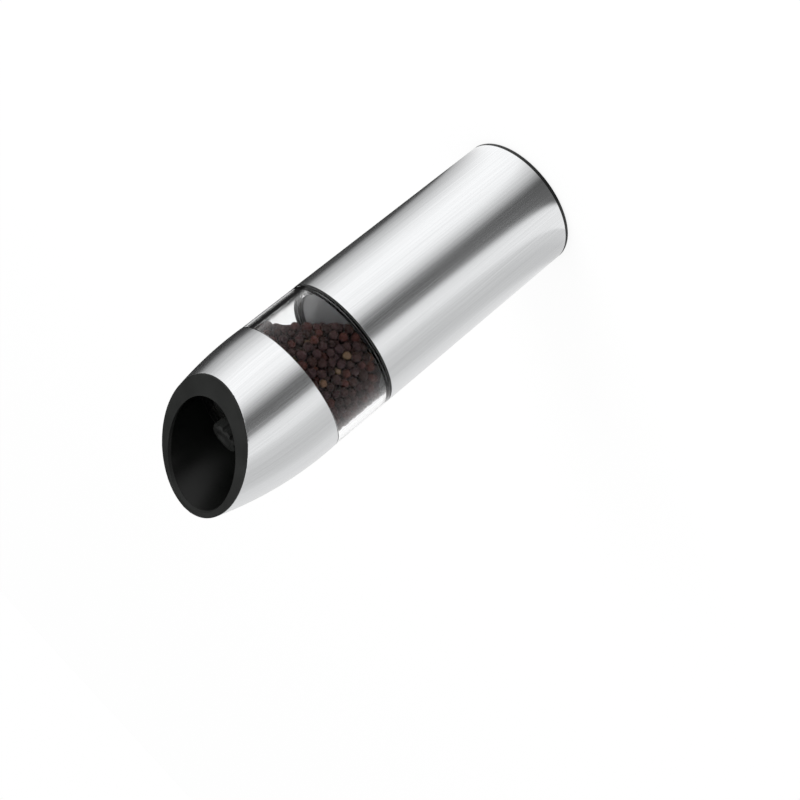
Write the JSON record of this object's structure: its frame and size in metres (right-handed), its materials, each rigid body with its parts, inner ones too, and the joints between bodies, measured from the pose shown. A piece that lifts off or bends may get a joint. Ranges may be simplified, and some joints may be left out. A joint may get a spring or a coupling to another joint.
{
  "type": "pepper mill",
  "caption": "Battery pepper mill with steel sleeve, clear corn window and slanted mouth; tipping it over makes it grind.",
  "frame": {"origin": "centre of the base, on the surface it stands on", "axes": "+Z from the base to the mouth along the mill's axis, +Y towards the long side of the slanted nose"},
  "size_m": [0.056, 0.056, 0.1828],
  "materials": {
    "black_plastic": "fine moulded texture, satin-matte",
    "gloss_black": "polished moulding",
    "inner_plastic": "moulded ABS",
    "rubber": "soft matte",
    "steel": "brushed round the body",
    "clear": "clear moulded acrylic",
    "grey_plastic": "moulded ABS",
    "nylon": "moulded acetal",
    "ceramic": "sintered white ceramic, satin",
    "zinc_steel": "zinc-plated steel",
    "copper": "stamped strip",
    "cell_wrap": "printed steel jacket, plain",
    "board_green": "solder resist",
    "corn": "dried, wrinkled skin"
  },
  "bodies": {
    "motor_unit": {"battery_tray": "inner_plastic", "battery_cells": "cell_wrap", "tray_contacts_lower": "zinc_steel", "tray_contacts_upper": "zinc_steel", "main_sleeve": "steel", "chassis": "inner_plastic", "power_strips": "copper", "control_board": "board_green", "tilt_switch_case": "nylon", "tilt_switch_pins": "copper", "motor_can": "zinc_steel", "motor_end_bell": "nylon", "motor_plate": "zinc_steel", "motor_screws": "zinc_steel", "plate_screws": "zinc_steel", "ring_gear_housing": "nylon", "gearbox_cover": "nylon", "gearbox_screws": "zinc_steel", "bayonet_collar": "inner_plastic", "reservoir_floor": "grey_plastic", "shaft_seal": "rubber", "seam_seal": "rubber"},
    "base": {"base_cap": "black_plastic", "foot_ring": "rubber"},
    "ball": {"tilt_ball": "zinc_steel"},
    "motor_shaft": {"motor_shaft_sun": "zinc_steel"},
    "carrier_1": {"stage_1_carrier": "nylon"},
    "planet_1a": {"stage_1_planet_a": "nylon"},
    "planet_1b": {"stage_1_planet_b": "nylon"},
    "planet_1c": {"stage_1_planet_c": "nylon"},
    "planet_2a": {"stage_2_planet_a": "nylon"},
    "planet_2b": {"stage_2_planet_b": "nylon"},
    "planet_2c": {"stage_2_planet_c": "nylon"},
    "drive": {"stage_2_carrier": "nylon", "drive_shaft": "zinc_steel", "shaft_sleeve": "inner_plastic", "cone_spring": "zinc_steel"},
    "cone": {"grinding_cone": "ceramic"},
    "head": {"window_container": "clear", "peppercorns": "corn", "grinder_housing": "inner_plastic", "grinding_ring": "ceramic", "adjuster_bridge": "black_plastic", "bridge_screws": "zinc_steel", "outlet_funnel": "gloss_black", "mouth_ring": "black_plastic", "nose_shell": "steel"},
    "bush": {"adjuster_bush": "nylon"},
    "knob": {"adjuster_knob": "black_plastic"}
  },
  "joints": [
    {"name": "cap_twist", "type": "hinge", "parent": "motor_unit", "child": "base", "pos_m": [0, 0, 0], "axis": [0, 0, -1], "range_deg": [0, 30]},
    {"name": "head_twist", "type": "hinge", "parent": "motor_unit", "child": "head", "pos_m": [0, 0, 0], "axis": [0, 0, 1], "range_deg": [0, 30]},
    {"name": "ball_roll", "type": "slide", "parent": "motor_unit", "child": "ball", "axis": [0, 0, 1], "range_m": [0, 0.005]},
    {"name": "drive_spin", "type": "hinge", "parent": "motor_unit", "child": "drive", "pos_m": [0, 0, 0], "axis": [0, 0, 1], "continuous": true},
    {"name": "carrier_1_spin", "type": "hinge", "parent": "motor_unit", "child": "carrier_1", "pos_m": [0, 0, 0], "axis": [0, 0, 1], "continuous": true},
    {"name": "motor_spin", "type": "hinge", "parent": "motor_unit", "child": "motor_shaft", "pos_m": [0, 0, 0], "axis": [0, 0, 1], "continuous": true},
    {"name": "planet_1a_spin", "type": "hinge", "parent": "carrier_1", "child": "planet_1a", "pos_m": [0.0075, 0, 0], "axis": [0, 0, 1], "continuous": true},
    {"name": "planet_1b_spin", "type": "hinge", "parent": "carrier_1", "child": "planet_1b", "pos_m": [-0.00375, 0.0065, 0], "axis": [0, 0, 1], "continuous": true},
    {"name": "planet_1c_spin", "type": "hinge", "parent": "carrier_1", "child": "planet_1c", "pos_m": [-0.00375, -0.0065, 0], "axis": [0, 0, 1], "continuous": true},
    {"name": "planet_2a_spin", "type": "hinge", "parent": "drive", "child": "planet_2a", "pos_m": [0.0075, 0, 0], "axis": [0, 0, 1], "continuous": true},
    {"name": "planet_2b_spin", "type": "hinge", "parent": "drive", "child": "planet_2b", "pos_m": [-0.00375, 0.0065, 0], "axis": [0, 0, 1], "continuous": true},
    {"name": "planet_2c_spin", "type": "hinge", "parent": "drive", "child": "planet_2c", "pos_m": [-0.00375, -0.0065, 0], "axis": [0, 0, 1], "continuous": true},
    {"name": "knob_turn", "type": "hinge", "parent": "head", "child": "knob", "pos_m": [0, 0, 0], "axis": [0, 0, 1], "range_deg": [0, 288]},
    {"name": "bush_shift", "type": "slide", "parent": "head", "child": "bush", "axis": [0, 0, 1], "range_m": [0, 0.0008]},
    {"name": "cone_shift", "type": "slide", "parent": "drive", "child": "cone", "axis": [0, 0, 1], "range_m": [0, 0.0008], "deforming": ["cone_spring"]}
  ],
  "couplings": [
    {"joint": "carrier_1_spin", "follows": "drive_spin", "ratio": 5},
    {"joint": "motor_spin", "follows": "drive_spin", "ratio": 25},
    {"joint": "planet_1a_spin", "follows": "drive_spin", "ratio": -13.333},
    {"joint": "planet_1b_spin", "follows": "drive_spin", "ratio": -13.333},
    {"joint": "planet_1c_spin", "follows": "drive_spin", "ratio": -13.333},
    {"joint": "planet_2a_spin", "follows": "drive_spin", "ratio": -2.6667},
    {"joint": "planet_2b_spin", "follows": "drive_spin", "ratio": -2.6667},
    {"joint": "planet_2c_spin", "follows": "drive_spin", "ratio": -2.6667},
    {"joint": "knob_turn", "follows": "bush_shift", "rad_per_m": 6283.2},
    {"joint": "cone_shift", "follows": "bush_shift", "ratio": 1}
  ]
}
